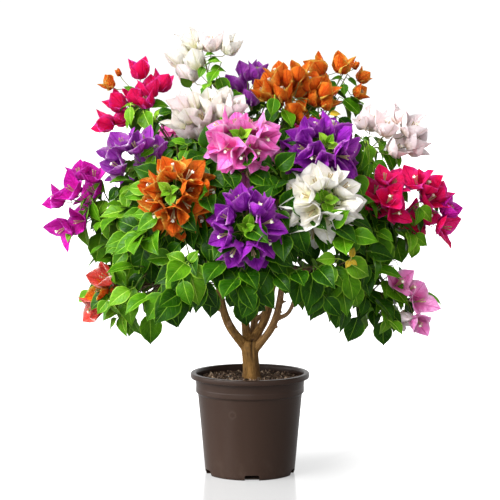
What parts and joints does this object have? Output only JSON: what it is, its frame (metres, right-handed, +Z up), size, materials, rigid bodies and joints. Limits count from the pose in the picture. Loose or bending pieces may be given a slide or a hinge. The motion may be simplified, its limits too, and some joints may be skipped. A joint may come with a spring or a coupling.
{
  "type": "bougainvillea bonsai in a pot",
  "caption": "Small flowering tree with a short trunk, forking boughs and a rounded leafy crown with blossom in many colours, in a round plastic pot.",
  "frame": {"origin": "centre of the flat underside of the pot, which the plant stands on", "axes": "+Z up along the pot's axis, -Y towards the side that the picture shows, +X to the right in the picture"},
  "size_m": [0.6904, 0.5559, 0.7218],
  "materials": {
    "pot": "dark brown moulded plastic, satin, with a soft sheen on the rim",
    "soil": "dark potting mix of composted bark with pale chunks",
    "bark": "tan brown fibrous bark with fine upright ridges",
    "foliage": "glossy green leaves with papery bracts in crimson, magenta, violet, orange, pink and white"
  },
  "bodies": {
    "root": {"pot": "pot", "soil": "soil", "trunk": "bark", "bough_left": "bark", "bough_top_left": "bark", "bough_top_right": "bark", "bough_right": "bark", "bough_back": "bark", "bough_left_low": "bark", "bough_front_left_low": "bark", "bough_front_left": "bark", "bough_upper_left_front": "bark", "bough_front": "bark", "bough_upper_left": "bark", "bough_front_top": "bark", "bough_front_right_upper": "bark", "bough_top": "bark", "bough_upper_right": "bark", "bough_front_right": "bark", "bough_front_right_low": "bark", "bough_right_low": "bark", "bough_back_left": "bark", "bough_back_right": "bark", "bough_back_upper_left": "bark", "bough_back_upper_right": "bark", "bough_back_left_low": "bark", "bough_back_right_low": "bark", "foliage_left": "foliage", "foliage_top_left": "foliage", "foliage_top_right": "foliage", "foliage_right": "foliage", "foliage_back": "foliage", "foliage_left_low": "foliage", "foliage_front_left_low": "foliage", "foliage_front_left": "foliage", "foliage_upper_left_front": "foliage", "foliage_front": "foliage", "foliage_upper_left": "foliage", "foliage_front_top": "foliage", "foliage_front_right_upper": "foliage", "foliage_top": "foliage", "foliage_upper_right": "foliage", "foliage_front_right": "foliage", "foliage_front_right_low": "foliage", "foliage_right_low": "foliage", "foliage_back_left": "foliage", "foliage_back_right": "foliage", "foliage_back_upper_left": "foliage", "foliage_back_upper_right": "foliage", "foliage_back_left_low": "foliage", "foliage_back_right_low": "foliage"}
  },
  "joints": []
}
